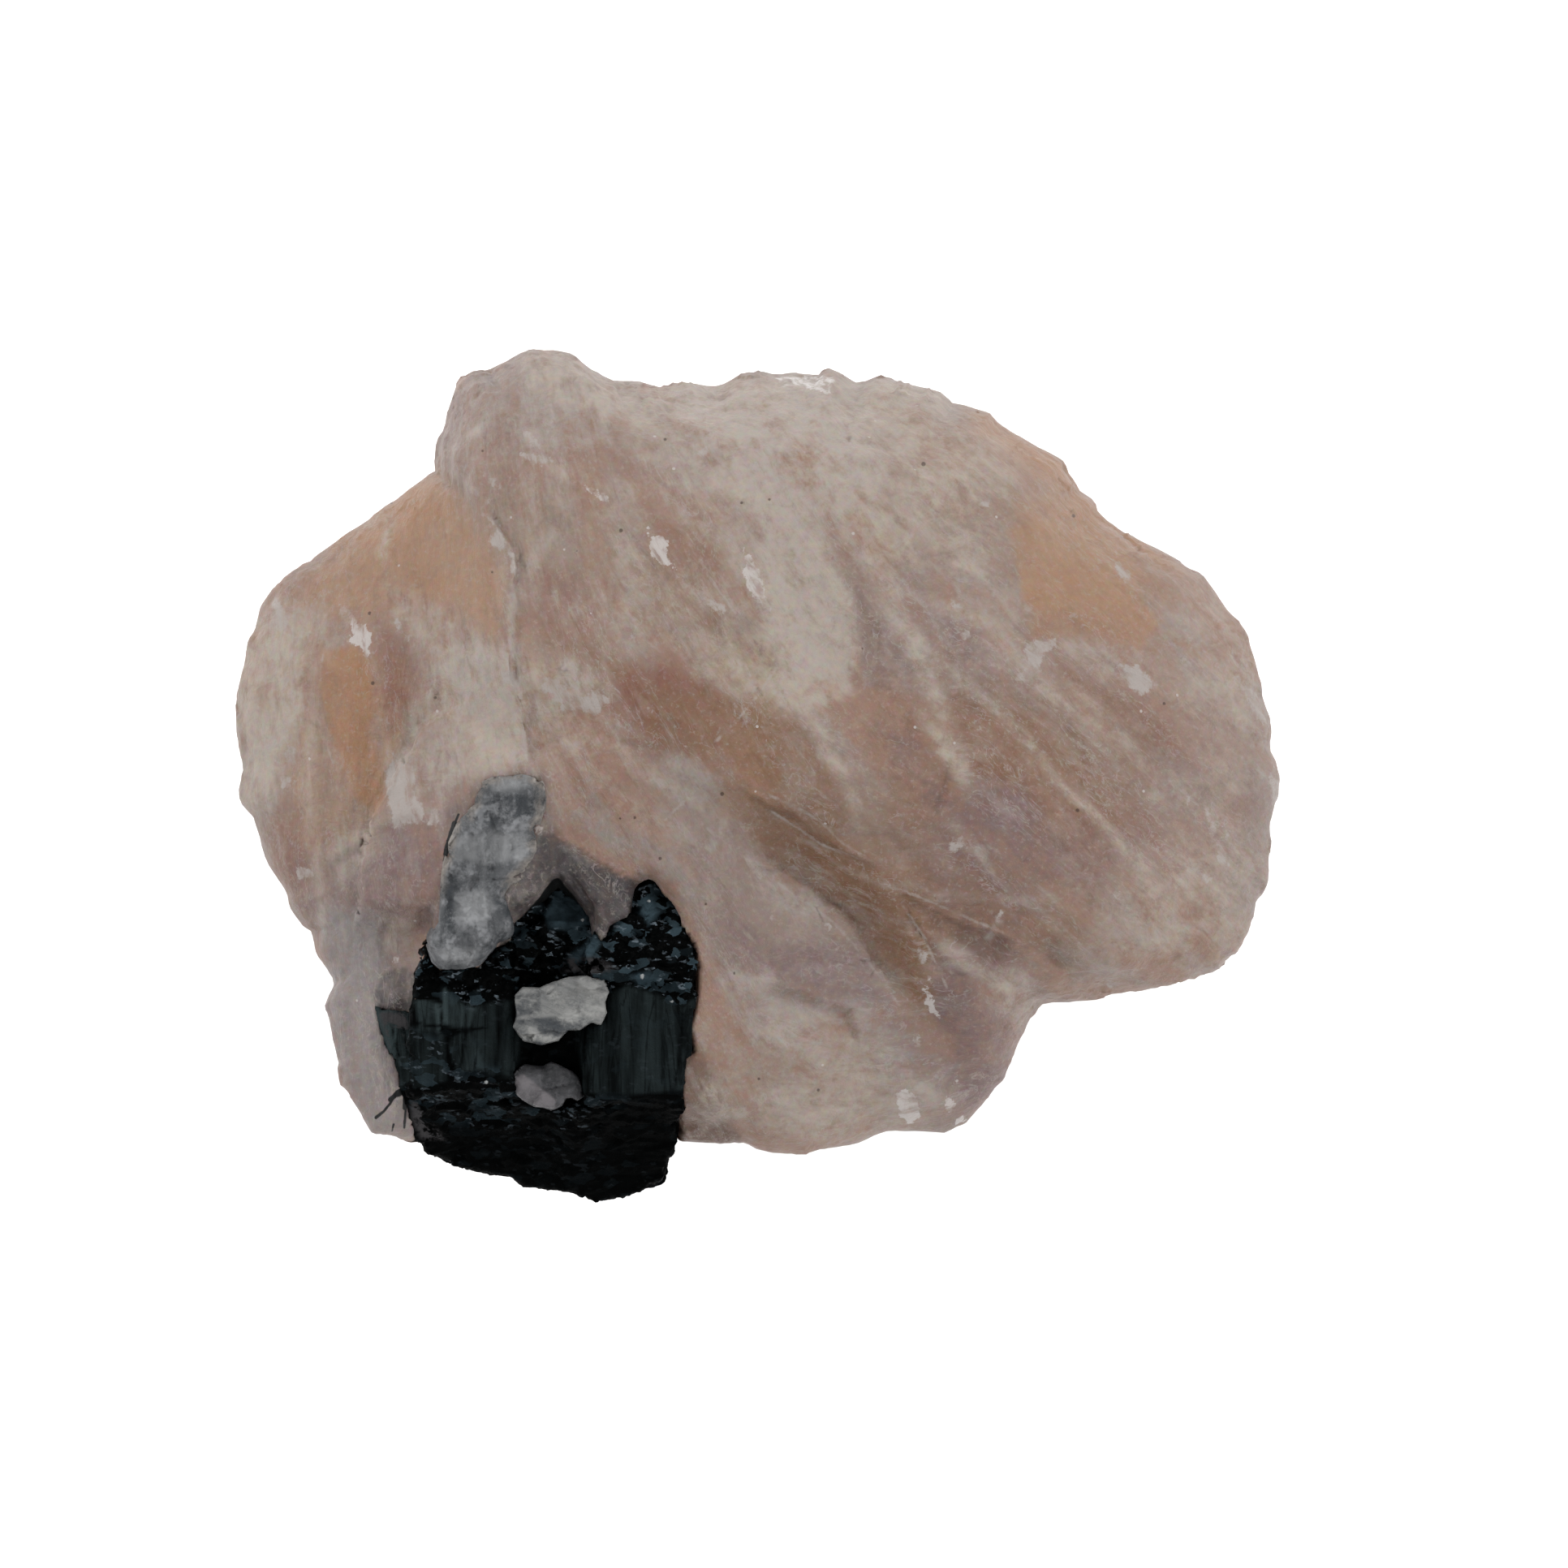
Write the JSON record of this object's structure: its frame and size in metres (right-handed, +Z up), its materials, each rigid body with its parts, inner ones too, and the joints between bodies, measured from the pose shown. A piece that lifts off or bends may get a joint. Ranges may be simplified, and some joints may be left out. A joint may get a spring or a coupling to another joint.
{
  "type": "rough rose quartz specimen",
  "caption": "Rough hand-sized lump of rose quartz with black tourmaline crystals grown into one corner and bits of grey and white quartz on them.",
  "frame": {"origin": "under the middle of the specimen's box, on the surface that it rests on", "axes": "+X along the length, +Y across the broad face towards its top edge, away from the tourmaline, +Z up out of the broad face"},
  "size_m": [0.1046, 0.0856, 0.0473],
  "materials": {
    "rose_quartz": "cloudy, broken, slightly waxy",
    "black_tourmaline": "glossy on crystal faces, rough on breaks",
    "grey_quartz": "translucent, streaked",
    "white_quartz": "chalky"
  },
  "bodies": {
    "root": {"rose_quartz": "rose_quartz", "black_tourmaline": "black_tourmaline", "grey_quartz_cap": "grey_quartz", "white_quartz_chip": "white_quartz", "grey_quartz_chip": "grey_quartz"}
  },
  "joints": []
}
